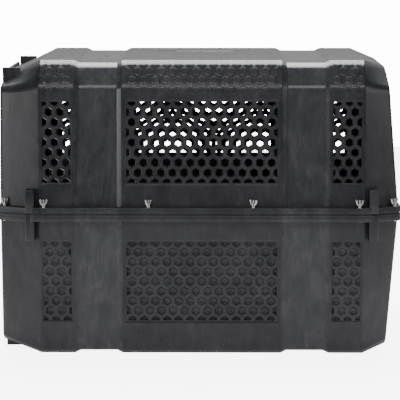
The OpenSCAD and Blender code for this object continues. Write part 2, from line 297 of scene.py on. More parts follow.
def fill(outline, holes):
    """Triangles, as index triples, that fill an outline apart from its holes."""
    points = list(outline)
    edges = [(i, (i + 1) % len(outline)) for i in range(len(outline))]
    for hole in holes:
        base = len(points)
        points += hole
        edges += [(base + i, base + (i + 1) % len(hole)) for i in range(len(hole))]
    found = delaunay_2d_cdt([Vector(p) for p in points], edges, [], 0, 1e-7)
    source = [ids[0] for ids in found[3]]
    triangles = []
    for face in found[2]:
        ids = [source[i] for i in face]
        middle = [sum(points[i][k] for i in ids) / len(ids) for k in range(2)]
        if inside(middle, outline) and not any(inside(middle, hole) for hole in holes):
            triangles.append(ids)
    return points, triangles


# ---------- one shell half as a family of cross-sections ----------

End = namedtuple("End", "bend edge lean crown")


class Half:
    """One shell: its profile corners at the bays and at both ends, and how the ends lean."""

    def __init__(self, up, bend, edge, front, rear, wall_lines, roof_lines, radii, crease):
        self.up = up
        self.foot_z = PARTING + up * JOINT_GAP
        self.door_z = DOOR_HIGH if up > 0 else DOOR_LOW
        self.face_z = FLANGE_TOP if up > 0 else FLANGE_BOTTOM
        self.bays = [(WALL_Y, self.foot_z), bend, edge]
        self.front = [(END_Y, self.foot_z), front.bend, front.edge]
        self.rear = [(END_Y, self.foot_z), rear.bend, rear.edge]
        self.front_lean = front.lean
        self.rear_lean = rear.lean
        self.crown = (front.crown, rear.crown)
        self.wall_lines = wall_lines
        self.roof_lines = roof_lines
        self.radii = radii
        self.crease = crease

    def end_plane(self, z, rear):
        """Distance from the origin to an end wall at one height."""
        lean = self.rear_lean if rear else self.front_lean
        return END_X - lean * abs(z - self.foot_z)

    def end_shares(self, x):
        """How far a station has gone from the bays towards the front end and the rear end."""
        front = soft_ramp(FRONT_X - x, CORNER_BEND) / (END_X + FRONT_X)
        rear = soft_ramp(x - REAR_X, CORNER_BEND) / (END_X - REAR_X)
        return front, rear

    def channel(self, x):
        """Depth of the channels at a station."""
        u = abs(x - BAY_MID)
        starts = (CENTRE_BAY, CENTRE_BAY + BAY_SLOPE, END_BAY_INNER - BAY_SLOPE, END_BAY_INNER)
        a, b, c, d = [soft_ramp(u - start, CHANNEL_BEND) for start in starts]
        return CHANNEL_DEPTH * (a - b - (c - d)) / BAY_SLOPE

    def corners(self, x, inset):
        """Profile corners at a station, moved in by inset and the channel depth."""
        d = inset + self.channel(x)
        front, rear = self.end_shares(x)
        shape = []
        for bay, f, r, pull in zip(self.bays, self.front, self.rear, [(1, 0), (1, BEND), (BEND, 1)]):
            y = bay[0] + (f[0] - bay[0]) * front + (r[0] - bay[0]) * rear
            z = bay[1] + (f[1] - bay[1]) * front + (r[1] - bay[1]) * rear
            shape.append((y - pull[0] * d, z - self.up * pull[1] * d))
        return shape

    def profile(self, x, inset):
        """Half profile from the parting edge to the middle of the roof or floor."""
        foot, bend, edge = self.corners(x, inset)
        front, rear = self.end_shares(x)
        crown = self.crown[0] * front + self.crown[1] * rear
        middle = (0.0, edge[1] + crown)
        points = [foot]
        for z in self.wall_lines:
            points.append((mix(foot[0], bend[0], (z - foot[1]) / (bend[1] - foot[1])), z))
        radius = self.radii[0] * (1 - END_TIGHTEN * max(front, rear))
        points += fillet(foot, bend, edge, radius, ARC_STEPS, GUARD)
        points.append(((bend[0] + edge[0]) / 2, (bend[1] + edge[1]) / 2))
        points += self.upper_edge(bend, edge, middle)
        points += [(y, edge[1] + crown * (1 - y / edge[0])) for y in self.roof_lines]
        points.append(middle)
        return points

    def upper_edge(self, bend, edge, middle):
        """Arc off the slope, then, if there is a crease, a strip that meets the roof at an edge."""
        if not self.crease:
            return fillet(bend, edge, middle, self.radii[1], ARC_STEPS, GUARD)
        steep = math.atan2(abs(edge[1] - bend[1]), bend[0] - edge[0])
        tilt = CREASE_SHARE * steep
        drop = self.crease * math.sin(tilt)
        low = (edge[0] + drop / math.tan(steep), edge[1] - self.up * drop)
        high = (low[0] - self.crease * math.cos(tilt), edge[1])
        high = (high[0], edge[1] + (middle[1] - edge[1]) * (1 - high[0] / edge[0]))
        arc = fillet(bend, low, high, self.radii[1], ARC_STEPS, GUARD)
        return arc + fillet(low, high, middle, CREASE_RADIUS, 3, GUARD)

    def place(self, x, y, z, thick):
        """Station coordinate to real X, which follows the lean of the end walls."""
        if x < FRONT_X:
            t = (FRONT_X - x) / (END_X + FRONT_X)
            x = mix(FRONT_X, thick - self.end_plane(z, False), t)
        elif x > REAR_X:
            t = (x - REAR_X) / (END_X - REAR_X)
            x = mix(REAR_X, self.end_plane(z, True) - thick, t)
        return (x, y, z)


DIMPLE_SLOPE = math.atan((WALL_Y - HEEL[0]) / (PARTING - HEEL[1]))
DIMPLE_HALF = HALF_WINDOW * math.cos(DIMPLE_SLOPE)


def border_lines(mid_z, half_z):
    """Heights where the wall is cut for the lattice windows, upwards."""
    return [mid_z - half_z - CENTRE_BORDER, mid_z - half_z - SIDE_BORDER,
            mid_z + half_z + SIDE_BORDER, mid_z + half_z + CENTRE_BORDER]


TOP = Half(
    up=1, bend=SHOULDER, edge=ROOF_EDGE,
    front=End((END_Y - 0.027, SHOULDER[1] - 0.006), (0.186, HEIGHT - 0.0585), lean=0.0027, crown=0.010),
    rear=End((END_Y - 0.027, SHOULDER[1] - 0.007), (0.190, HEIGHT - 0.027), lean=0.075, crown=0.0),
    wall_lines=border_lines(VENT_Z, HALF_WINDOW),
    roof_lines=[FIELD_HALF_Y + FIELD_LIP + 0.002, FIELD_HALF_Y + FIELD_LIP, FIELD_HALF_Y, 0.07],
    radii=(BEND_RADIUS, ROOF_RADIUS), crease=CREASE_WIDTH)
BOTTOM = Half(
    up=-1, bend=HEEL, edge=FLOOR_EDGE,
    front=End((END_Y - 0.012, 0.050), (END_Y - 0.022, 0.038), lean=0.001, crown=0.0),
    rear=End((END_Y - 0.010, 0.040), (END_Y - 0.020, 0.025), lean=0.077, crown=0.0),
    wall_lines=border_lines(DIMPLE_Z, DIMPLE_HALF)[::-1],
    roof_lines=[0.15],
    radii=(HEEL_RADIUS, FLOOR_RADIUS), crease=0.0)


def end_stations():
    """Station coordinates and insets that round one end, from the end wall inwards."""
    return [(END_X - depth, inset) for depth, inset in quarter_round(END_RADIUS, 6)]


def stations(extra):
    """All stations of a shell as (station coordinate, inset), front to rear."""
    around = (-2, -1, 0, 1, 2)
    inner = []
    for side in (-1, 1):
        for edge in (CENTRE_BAY, CENTRE_BAY + BAY_SLOPE, END_BAY_INNER - BAY_SLOPE, END_BAY_INNER):
            inner += [BAY_MID + side * (edge + k * CHANNEL_BEND / 2) for k in around]
    for corner in (FRONT_X, REAR_X):
        inner += [corner + k * CORNER_BEND / 2 for k in around]
    for window in WINDOWS:
        wide = window.half + window.border
        inner += [window.x - wide, window.x + wide]
    inner += extra
    for k in (0.25, 0.5, 0.75):
        inner += [mix(FRONT_X, -END_X + END_RADIUS, k), mix(REAR_X, END_X - END_RADIUS, k)]
    inner = sorted(set(round(x, 6) for x in inner))
    ends = end_stations()
    return [(-x, e) for x, e in ends] + [(x, 0.0) for x in inner] + [(x, e) for x, e in reversed(ends)]


def in_window(x, z, mid_z, half_z):
    """Whether a point of a long wall is in a lattice window or its border."""
    return any(abs(x - w.x) < w.half + w.border and abs(z - mid_z) < half_z + w.border for w in WINDOWS)


def shell_grid(half, station_list, inset, thick, sink):
    """Rows of points, one per station, right round the profile from -Y to +Y."""
    rows = []
    for x, e in station_list:
        side = half.profile(x, e + inset)
        ring = [(-y, z) for y, z in side] + [(y, z) for y, z in reversed(side[:-1])]
        rows.append([half.place(x, y, z - sink(x, y, z), thick) for y, z in ring])
    return rows


def body_shell(half, mid_z, half_z, rear_hole, sink, extra):
    """Closed wall of one shell: outer skin, inner skin, ends, and a rim round every opening."""
    build = Builder()
    station_list = stations(extra)
    outer = shell_grid(half, station_list, 0.0, 0.0, sink)
    inner = shell_grid(half, station_list, WALL, WALL, sink)
    last = len(outer[0])
    pairs = []
    lookup = {}

    def node(a, b):
        pairs.append((a, b))
        return len(pairs) - 1

    for i in range(len(outer)):
        for j in range(last):
            lookup[i, j] = node(outer[i][j], inner[i][j])
    faces = []
    for i in range(len(outer) - 1):
        for j in range(last - 1):
            quad = [(i, j), (i + 1, j), (i + 1, j + 1), (i, j + 1)]
            x = sum(outer[a][b][0] for a, b in quad) / 4
            z = sum(outer[a][b][2] for a, b in quad) / 4
            y = abs(outer[i][j][1])
            if y > HEEL[0] - 0.02 and in_window(x, z, mid_z, half_z):
                continue
            ids = [lookup[c] for c in quad]
            faces.append(ids if half.up > 0 else ids[::-1])
    for row, rear in ((0, False), (len(outer) - 1, True)):
        ring = [(outer[row][j][1], outer[row][j][2]) for j in range(last)]
        ids = [lookup[row, j] for j in range(last)]
        if rear:
            notch = []
            holes = [rear_hole] if rear_hole else []
        else:
            notch = [(DOOR_HALF, half.foot_z), (DOOR_HALF, half.door_z),
                     (-DOOR_HALF, half.door_z), (-DOOR_HALF, half.foot_z)]
            holes = []
        for y, z in notch + [p for hole in holes for p in hole]:
            x = half.end_plane(z, rear)
            if rear:
                ids.append(node((x, y, z), (x - WALL, y, z)))
            else:
                ids.append(node((-x, y, z), (WALL - x, y, z)))
        points, triangles = fill(ring + notch, holes)
        for triangle in triangles:
            a, b, c = [points[k] for k in triangle]
            turn = (b[0] - a[0]) * (c[1] - a[1]) - (b[1] - a[1]) * (c[0] - a[0])
            face = [ids[k] for k in triangle]
            faces.append(face if (turn > 0) == rear else face[::-1])
    used = {}
    for face in faces:
        for a, b in zip(face, face[1:] + face[:1]):
            used[a, b] = True
        build.face([pairs[k][0] for k in face])
        build.face([pairs[k][1] for k in reversed(face)])
    for a, b in used:
        if (b, a) not in used:
            build.face([pairs[b][0], pairs[a][0], pairs[a][1], pairs[b][1]])
    return build


# ---------- hexagon lattices ----------

def hexagon(u, v, flats):
    """Corners of a pointed-up hexagon, anticlockwise."""
    r = flats / math.sqrt(3)
    return [(u + r * math.cos(math.radians(60 * k + 30)), v + r * math.sin(math.radians(60 * k + 30)))
            for k in range(6)]


def lattice(build, place, half_u, half_v, shift, levels):
    """Hexagon cells in a window; levels are (flats, height) rings from the cell edge inwards."""
    columns = int(half_u / HEX_PITCH) + 2
    rows = round(half_v / ROW_RISE)
    blind = levels[-1][0] < HEX_FLATS
    for row in range(-rows, rows + 1):
        offset = 0.5 if (row + rows) % 2 else 0.0
        for column in range(-columns, columns + 1):
            u = shift + (column + offset) * HEX_PITCH
            v = row * ROW_RISE
            if abs(u) - HEX_PITCH / 2 >= half_u:
                continue
            rings = [[(p, q, n) for p, q in hexagon(u, v, flats)] for flats, n in levels]
            for k in range(6):
                m = (k + 1) % 6
                for upper, lower in zip(rings, rings[1:]):
                    cell = [upper[k], upper[m], lower[m], lower[k]]
                    # the deep faces of blind cells are darkened as painted shade
                    deep = blind and max(p[2] for p in cell) < -PANEL_RECESS
                    add_clipped(build, place, cell, half_u, half_v, deep)
            if blind:
                add_clipped(build, place, rings[-1], half_u, half_v, True)


def add_clipped(build, place, cell, half_u, half_v, deep):
    """The part of a cell's face that is in the window; a deep face gets the second material, the painted
    shade of the dimples.
    """
    for axis, limit in ((0, half_u), (1, half_v)):
        cell = clip_between(cell, axis, -limit, limit)
        if len(cell) < 3:
            return
    before = len(build.faces)
    build.face([place(*p) for p in cell])
    if deep and len(build.faces) > before:
        build.painted_shade_faces.append(before)


def window_frame(build, place, half_u, half_v, border, back):
    """Recessed border strip between a lattice and the wall around it."""
    strip = [(0.0, -back), (0.0, -PANEL_RECESS - 0.0004), (0.0004, -PANEL_RECESS),
             (border - 0.0030, -PANEL_RECESS), (border - 0.0024, -PANEL_RECESS * 0.85),
             (border - 0.0018, -PANEL_RECESS * 0.15), (border - 0.0012, 0.0)]
    corner_steps = 6
    rings = []
    for offset, n in strip:
        rings.append([(u, v, n) for u, v in offset_rectangle(half_u, half_v, offset, corner_steps)])
    outer = offset_rectangle(half_u, half_v, border, corner_steps, square=True)
    rings.append([(u, v, 0.0) for u, v in outer])
    rings.append([(u, v, -WALL) for u, v in outer])
    rings.append([(u, v, -WALL) for u, v, n in rings[0]])
    rings.append(rings[0])
    for a, b in zip(rings, rings[1:]):
        for k in range(len(a)):
            m = (k + 1) % len(a)
            build.face([place(*p) for p in (a[m], a[k], b[k], b[m])])


def offset_rectangle(half_u, half_v, offset, steps, square=False):
    """Rectangle moved out by offset; its corners are round or, if square, drawn out to a square."""
    points = []
    for quarter, (su, sv) in enumerate(((1, 1), (-1, 1), (-1, -1), (1, -1))):
        for k in range(steps + 1):
            turn = math.radians(90 * (quarter + k / steps))
            c, s = math.cos(turn), math.sin(turn)
            reach = offset / max(abs(c), abs(s)) if square else offset
            points.append((su * half_u + reach * c, sv * half_v + reach * s))
    return points


def wall_plane(side, mid_x, mid_z, half):
    """Placement on a long wall: u along the wall, v up it, n outwards.

    On the upper shell v is a height, so it is stretched to run along the sloping wall.
    """
    foot, bend = half.bays[0], half.bays[1]
    slope = math.atan((foot[0] - bend[0]) / (bend[1] - foot[1]))
    y0 = mix(foot[0], bend[0], (mid_z - foot[1]) / (bend[1] - foot[1]))
    rise = (-math.sin(slope), math.cos(slope))
    out = (math.cos(slope), math.sin(slope))
    stretch = 1 / math.cos(slope) if half.up > 0 else 1.0

    def place(u, v, n):
        v *= stretch
        y = y0 + v * rise[0] + n * out[0]
        z = mid_z + v * rise[1] + n * out[1]
        return (mid_x - side * u, side * y, z)
    return place


def rear_plane(mid_z):
    """Placement on the rear wall of the upper shell."""
    slope = math.atan(TOP.rear_lean)
    x0 = TOP.end_plane(mid_z, True)

    def place(u, v, n):
        x = x0 - v * math.sin(slope) + n * math.cos(slope)
        return (x, u, mid_z + v * math.cos(slope) + n * math.sin(slope))
    return place


def vents(build, half, mid_z, levels, back):
    """The three lattice windows of both long walls."""
    for side in (-1, 1):
        for window in WINDOWS:
            place = wall_plane(side, window.x, mid_z, half)
            lattice(build, place, window.half, HALF_WINDOW, -side * window.shift, levels)
            window_frame(build, place, window.half, HALF_WINDOW, window.border, back)


# ---------- shells ----------

def roof_field(x, y, z):
    """Depth of the blank label field in the roof at one point."""
    du = (abs(x - FIELD_X) - FIELD_HALF_X) / FIELD_LIP
    dv = (abs(y) - FIELD_HALF_Y) / FIELD_LIP
    if z < HEIGHT - 0.02:
        return 0.0
    return FIELD_DEPTH * max(0.0, min(1.0, 1.0 - max(du, dv)))


def no_sink(x, y, z):
    return 0.0


def rounded_box(build, low, high, radius):
    """Box with rounded edges."""
    steps = 3
    edge = quarter_round(radius, steps)
    levels = [(low[2] + d, e) for d, e in edge] + [(high[2] - d, e) for d, e in reversed(edge)]
    cx, cy = (low[0] + high[0]) / 2, (low[1] + high[1]) / 2
    hx, hy = (high[0] - low[0]) / 2 - radius, (high[1] - low[1]) / 2 - radius
    loops = []
    for z, e in levels:
        ring = offset_rectangle(hx, hy, radius - e, steps)
        loops.append([(cx + u, cy + v, z) for u, v in ring])
    build.skin(loops, capped=True)


def flange_path():
    """Rounded outline of the flange from one side of the doorway round to the other."""
    x_end, y_side = LENGTH / 2, WIDTH / 2
    side = [(-x_end, DOOR_HALF + JAMB), (-x_end, y_side - FLANGE_CUT), (FRONT_X - FLANGE_FRONT_CUT, y_side),
            (REAR_X + FLANGE_REAR_CUT, y_side), (x_end, y_side - FLANGE_CUT)]
    corners = side + [(x, -y) for x, y in reversed(side)]
    arcs = [fillet(*three, FLANGE_CORNER, 5) for three in zip(corners, corners[1:], corners[2:])]
    points = [corners[0]]
    for arc in arcs + [[corners[-1]]]:
        start, stop = Vector(points[-1]), Vector(arc[0])
        count = max(1, int((stop - start).length / FLANGE_SPACING))
        points += [tuple(start.lerp(stop, k / count)) for k in range(1, count)]
        points += arc
    return points


def body_outline(half, z):
    """Plan outline of a shell's outer skin at a height on its wall."""
    side = []
    for x, e in stations([]):
        foot, bend, _ = half.corners(x, e)
        y = mix(foot[0], bend[0], (z - foot[1]) / (bend[1] - foot[1]))
        side.append(half.place(x, y, z, 0.0)[:2])
    return side + [(x, -y) for x, y in reversed(side)]


def reach(point, direction, outline):
    """Distance along a ray to the nearest edge of an outline."""
    best = 0.05
    for a, b in zip(outline, outline[1:] + outline[:1]):
        ex, ey = b[0] - a[0], b[1] - a[1]
        cross = direction[0] * ey - direction[1] * ex
        if abs(cross) < 1e-12:
            continue
        dx, dy = a[0] - point[0], a[1] - point[1]
        t = (dx * ey - dy * ex) / cross
        s = (dx * direction[1] - dy * direction[0]) / cross
        if t > 0 and 0 <= s <= 1:
            best = min(best, t)
    return best


def flange(build, half):
    """Flange swept round the shell along the outline of its body."""
    path = flange_path()
    section = flange_section(half)
    outline = body_outline(half, half.face_z)
    loops = []
    for k, point in enumerate(path):
        before = path[max(0, k - 1)]
        after = path[min(len(path) - 1, k + 1)]
        along = Vector((after[0] - before[0], after[1] - before[1])).normalized()
        normal = (along.y, -along.x)
        deep = reach(point, normal, outline) + WALL * 0.6
        loop = []
        for d, z in section:
            d = deep if d is None else d
            loop.append((point[0] + normal[0] * d, point[1] + normal[1] * d, z))
        loops.append(loop)
    flip = half.up < 0
    for here, there in zip(loops, loops[1:]):
        for k in range(len(here)):
            m = (k + 1) % len(here)
            quad = [here[k], there[k], there[m], here[m]]
            build.face(quad[::-1] if flip else quad)
    for loop, forward in ((loops[0], True), (loops[-1], False)):
        build.face(loop if forward != flip else loop[::-1])


def flange_section(half):
    """Plate and skirt as (distance in, height), with a round edge and a step; None is at the wall."""
    s = half.up
    face = half.face_z
    tip = PARTING + s * GROOVE
    step_z = face - s * FLANGE_STEP
    section = [(None, face)]
    section += [(d, face - s * e) for d, e in reversed(quarter_round(FLANGE_EDGE, 4))]
    section += [(0.0, step_z), (0.0009, step_z - s * 0.0007), (0.0009, tip + s * 0.0010), (0.0018, tip)]
    inner = SKIRT
    if s < 0:
        inner = SKIRT + 0.0014
        tongue_z = PARTING + TONGUE
        section += [(SKIRT + 0.0002, tip), (SKIRT + 0.0002, tongue_z), (inner, tongue_z)]
    else:
        section.append((inner, tip))
    return section + [(inner, face - s * SKIRT), (None, face - s * SKIRT)]


def lugs(build, z0, z1):
    """Pillars that cross the flange where every corner starts."""
    for x in (BAY_MID - LUG_X, BAY_MID + LUG_X):
        for side in (-1, 1):
            y0, y1 = sorted((side * (WALL_Y - LUG_DEPTH), side * (WIDTH / 2 - LUG_SETBACK)))
            rounded_box(build, (x - LUG_HALF, y0, z0), (x + LUG_HALF, y1, z1), LUG_RADIUS)


def doorway_lining(build, half):
    """Jambs and the ledge that carries the door's rods."""
    x0 = -END_X + 0.001
    x1 = x0 + LEDGE_DEPTH
    wide = DOOR_HALF + JAMB
    z0, z1 = sorted((half.foot_z, half.door_z))
    for side in (-1, 1):
        y0, y1 = sorted((side * DOOR_HALF, side * wide))
        rounded_box(build, (x0, y0, z0), (x1, y1, z1), BOX_RADIUS)
    z0, z1 = sorted((half.door_z, half.door_z + half.up * LEDGE))
    rounded_box(build, (x0, -wide, z0), (x1, wide, z1), BOX_RADIUS)


def ribs(build, x_range, z_range):
    """Upright plates outside the front wall, one at each side of the doorway."""
    for y in (-RIB_Y, RIB_Y):
        low = (x_range[0], y - RIB_HALF, z_range[0])
        high = (x_range[1], y + RIB_HALF, z_range[1])
        rounded_box(build, low, high, BOX_RADIUS)


def front_lip(build):
    """Raised edge over the doorway, where the roof slope ends, with sloping shoulders."""
    top, low = HEIGHT - 0.039, HEIGHT - 0.075
    wide, shoulder, flat = 0.215, 0.186, 0.178
    outline = [(-wide, low), (wide, low), (wide, low + 0.006), (shoulder, top - 0.004), (flat, top),
               (-flat, top), (-shoulder, top - 0.004), (-wide, low + 0.006)]
    thick = 0.009
    edge = [(0.0, 0.0015), (0.0005, 0.0004), (0.0015, 0.0)]
    middle = (low + top) / 2
    loops = []
    for depth, shrink in edge + [(thick - depth, shrink) for depth, shrink in reversed(edge)]:
        loops.append([(depth - END_X, y - math.copysign(shrink, y), z - math.copysign(shrink, z - middle))
                      for y, z in outline])
    build.skin(loops, capped=True)


def shoulder_pads(build):
    """Low hexagonal pads that carry the lattice over the shoulders of the bays."""
    wall_end = len(TOP.wall_lines)
    curve = [Vector(p) for p in TOP.profile(BAY_MID, 0.0)[wall_end:]]
    lengths = [0.0]
    for a, b in zip(curve, curve[1:]):
        lengths.append(lengths[-1] + (b - a).length)
    bend_start = lengths[1]

    def place_on(side, mid_x):
        def place(u, v, n):
            s = bend_start + v
            k = 0
            while k < len(lengths) - 2 and lengths[k + 1] < s:
                k += 1
            t = (s - lengths[k]) / (lengths[k + 1] - lengths[k])
            point = curve[k].lerp(curve[k + 1], t)
            along = (curve[k + 1] - curve[k]).normalized()
            out = Vector((along.y, -along.x))
            point = point + out * n
            return (mid_x - side * u, side * point.x, point.y)
        return place

    rows, first_row, columns = 4, 0.004, 8
    for side in (-1, 1):
        for window in WINDOWS:
            place = place_on(side, window.x)
            for row in range(rows):
                offset = 0.0 if row % 2 else 0.5
                for column in range(-columns, columns + 1):
                    u = (column + offset) * HEX_PITCH - side * window.shift
                    if abs(u) <= window.half:
                        pad(build, place, u, first_row + row * ROW_RISE, window.half)


def pad(build, place, u, v, half_u):
    """One low pad, sliced finely enough to follow the bends."""
    levels = [(0.0285, -0.0006), (0.0270, 0.0006), (0.0245, 0.0011), (0.0120, 0.0013)]
    cut_step = 0.0045
    rings = [[(p, q, n) for p, q in hexagon(u, v, flats)] for flats, n in levels]
    faces = []
    for k in range(6):
        m = (k + 1) % 6
        for outer, inner in zip(rings, rings[1:]):
            faces.append([outer[k], outer[m], inner[m], inner[k]])
    faces.append(rings[-1])
    for face in faces:
        face = clip_between(face, 0, -half_u, half_u)
        if len(face) < 3:
            continue
        first = math.floor(min(p[1] for p in face) / cut_step)
        last = math.ceil(max(p[1] for p in face) / cut_step)
        for k in range(first, last):
            strip = clip_between(face, 1, k * cut_step, (k + 1) * cut_step)
            if len(strip) >= 3:
                build.face([place(*p) for p in strip])


def roof_mark(build):
    """Shallow round moulding mark on the roof."""
    centre = (-0.297, 0.0, HEIGHT - CHANNEL_DEPTH)
    levels = [(0.0062, -0.0002), (0.0058, 0.0005), (0.0050, 0.0005), (0.0046, -0.0002)]
    build.skin([circle(centre, radius, height) for radius, height in levels])


def top_shell():
    wide = REAR_HALF + CENTRE_BORDER
    tall = (HALF_WINDOW + CENTRE_BORDER) * math.cos(math.atan(TOP.rear_lean))
    low, high = VENT_Z - tall, VENT_Z + tall
    rear_hole = [(-wide, low), (wide, low), (wide, high), (-wide, high)]
    field_lines = [FIELD_X + side * (FIELD_HALF_X + lip) for side in (-1, 1) for lip in (0.0, FIELD_LIP)]
    build = body_shell(TOP, VENT_Z, HALF_WINDOW, rear_hole, roof_field, field_lines)
    vents(build, TOP, VENT_Z, HOLE_LEVELS, LATTICE_BACK)
    place = rear_plane(VENT_Z)
    lattice(build, place, REAR_HALF, HALF_WINDOW, 0.0, HOLE_LEVELS)
    window_frame(build, place, REAR_HALF, HALF_WINDOW, CENTRE_BORDER, LATTICE_BACK)
    flange(build, TOP)
    lugs(build, PARTING + GROOVE, PARTING + TOP_LUG)
    doorway_lining(build, TOP)
    ribs(build, x_range=(-END_X + 0.003, -0.545), z_range=(0.760, HEIGHT - 0.025))
    front_lip(build)
    shoulder_pads(build)
    roof_mark(build)
    return build.mesh_object("Top_shell_moulding")


def bottom_shell():
    build = body_shell(BOTTOM, DIMPLE_Z, DIMPLE_HALF, None, no_sink, [])
    vents(build, BOTTOM, DIMPLE_Z, DIMPLE_LEVELS, DIMPLE_BACK)
    flange(build, BOTTOM)
    lugs(build, PARTING - BOTTOM_LUG, PARTING - GROOVE)
    doorway_lining(build, BOTTOM)
    ribs(build, x_range=(-END_X + 0.004, -0.536), z_range=(0.0, 0.110))
    return build.mesh_object("Bottom_shell_moulding")


# ---------- wing nuts ----------

NUT_TURNS = (20, 38, -22, 6, 30, 24, 8, 35, 42, 20, 70, 48)     # degrees
NUT_BORE = 0.0031
WING_THICK = 0.00132        # half thickness of a wing
WING_TILT = 0.0012          # how much its outer edge rises


def lathe(build, profile):
    """Closed surface of revolution about the Z axis; profile is (radius, height)."""
    rings = [circle((0.0, 0.0, 0.0), radius, height) for radius, height in profile]
    build.skin(rings + rings[:1])


def wing_nut(number, node):
    """Pressed wing nut: a coned hub with a bore and two curled wings."""
    low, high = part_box(node)
    mid_x, mid_y = (low[0] + high[0]) / 2, (low[1] + high[1]) / 2
    tall = high[2] - low[2]
    hub_top = tall * 0.5
    hub = [(NUT_BORE, 0.0), (0.0060, 0.0), (0.0064, 0.0006), (0.0062, 0.0030), (0.0052, 0.0060),
           (0.0047, 0.0115), (0.0042, hub_top), (NUT_BORE + 0.0004, hub_top), (NUT_BORE, hub_top - 0.0005)]
    # Spine of a wing from its root to its tip: distance from the axis, height, half width.
    spine = [(0.0035, 0.0045, 0.0042), (0.0062, 0.0090, 0.0040), (0.0078, 0.0140, 0.0040),
             (0.0088, 0.0195, 0.0044), (0.0080, tall - 0.0030, 0.0034)]
    build = Builder()
    lathe(build, hub)
    for side in (-1, 1):
        wing(build, side, spine)
    turn = math.radians(NUT_TURNS[number])
    c, s = math.cos(turn), math.sin(turn)
    build.verts = [(mid_x + x * c - y * s, mid_y + x * s + y * c, low[2] + z) for x, y, z in build.verts]
    return build.mesh_object(f"Wing_nut_{number + 1}", 50)


def wing(build, side, spine):
    """One wing, swept along a curved spine with a rounded end and soft edges."""
    count, around = 12, 12
    tip = {count - 1: 0.8, count: 0.35}
    loops = []
    for k in range(count + 1):
        t = k / count * (len(spine) - 1)
        a = min(int(t), len(spine) - 2)
        x, z, wide = [mix(p, q, t - a) for p, q in zip(spine[a], spine[a + 1])]
        wide *= tip.get(k, 1.0)
        ring = []
        for m in range(around):
            turn = 2 * math.pi * m / around
            c, s = math.cos(turn), math.sin(turn)
            ring.append((side * (x + wide * c), WING_THICK * s, z + WING_TILT * c))
        loops.append(ring if side > 0 else ring[::-1])
    build.skin(loops, capped=True)


# ---------- materials ----------

def node_material(name):
    material = bpy.data.materials.new(name)
    material.use_nodes = True
    tree = material.node_tree
    shader = tree.nodes["Principled BSDF"]
    coordinates = tree.nodes.new("ShaderNodeTexCoord")
    return material, tree, shader, coordinates.outputs["Object"]


def noise(tree, vector, scale, detail=4.0, roughness=0.5, distortion=0.0):
    texture = tree.nodes.new("ShaderNodeTexNoise")
    texture.inputs["Scale"].default_value = scale
    texture.inputs["Detail"].default_value = detail
    texture.inputs["Roughness"].default_value = roughness
    texture.inputs["Distortion"].default_value = distortion
    tree.links.new(vector, texture.inputs["Vector"])
    return texture.outputs["Fac"]


def stretched(tree, vector, scale):
    mapping = tree.nodes.new("ShaderNodeMapping")
    mapping.inputs["Scale"].default_value = scale
    tree.links.new(vector, mapping.inputs["Vector"])
    return mapping.outputs["Vector"]


def colour_ramp(tree, value, stops):
    ramp = tree.nodes.new("ShaderNodeValToRGB")
    while len(ramp.color_ramp.elements) < len(stops):
        ramp.color_ramp.elements.new(0.5)
    for element, (position, colour) in zip(ramp.color_ramp.elements, stops):
        element.position = position
        element.color = (*colour, 1.0)
    tree.links.new(value, ramp.inputs["Fac"])
    return ramp.outputs["Color"]


def map_range(tree, value, low, high, from_low=0.3, from_high=0.7):
    node = tree.nodes.new("ShaderNodeMapRange")
    node.inputs["From Min"].default_value = from_low
    node.inputs["From Max"].default_value = from_high
    node.inputs["To Min"].default_value = low
    node.inputs["To Max"].default_value = high
    tree.links.new(value, node.inputs["Value"])
    return node.outputs["Result"]


def combine(tree, operation, a, b):
    node = tree.nodes.new("ShaderNodeMath")
    node.operation = operation
    for socket, value in zip(node.inputs, (a, b)):
        if isinstance(value, float):
            socket.default_value = value
        else:
            tree.links.new(value, socket)
    return node.outputs["Value"]


def blend(tree, a, b, share):
    """Mean of two values in which the second has the given share."""
    rest = combine(tree, "MULTIPLY", a, 1.0 - share)
    return combine(tree, "ADD", rest, combine(tree, "MULTIPLY", b, share))


def distance(tree, value, middle):
    return combine(tree, "ABSOLUTE", combine(tree, "SUBTRACT", value, middle), 0.0)


def part(tree, vector, axis):
    split = tree.nodes.new("ShaderNodeSeparateXYZ")
    tree.links.new(vector, split.inputs["Vector"])
    return split.outputs[axis]


def bump(tree, height, depth, strength, normal=None):
    node = tree.nodes.new("ShaderNodeBump")
    node.inputs["Distance"].default_value = depth
    node.inputs["Strength"].default_value = strength
    tree.links.new(height, node.inputs["Height"])
    if normal is not None:
        tree.links.new(normal, node.inputs["Normal"])
    return node.outputs["Normal"]


